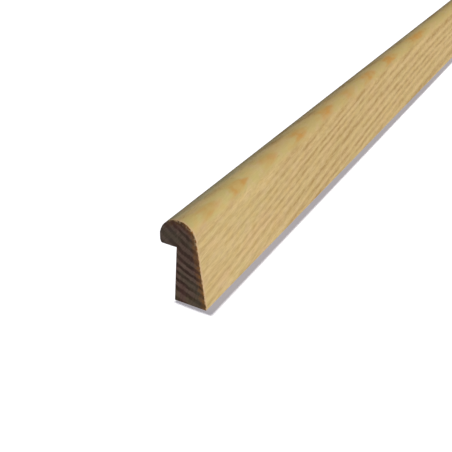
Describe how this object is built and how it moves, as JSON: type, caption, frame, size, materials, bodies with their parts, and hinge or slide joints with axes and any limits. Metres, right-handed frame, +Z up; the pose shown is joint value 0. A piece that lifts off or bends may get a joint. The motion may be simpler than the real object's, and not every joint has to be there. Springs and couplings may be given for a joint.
{
  "type": "rebated bullnose moulding",
  "caption": "Length of solid timber moulding: a round nose hangs over a square rebate at the back, and the front face leans out to a narrow flat foot.",
  "frame": {"origin": "centre of the flat foot, at mid-length", "axes": "+Y along the length, +X out of the leaning front face, +Z up from the foot to the round nose"},
  "size_m": [0.0244, 0.9, 0.04],
  "materials": {
    "timber": "planed and unfinished, with a fine straight grain on the long faces and darker sawn ends"
  },
  "bodies": {
    "root": {"moulding": "timber"}
  },
  "joints": []
}
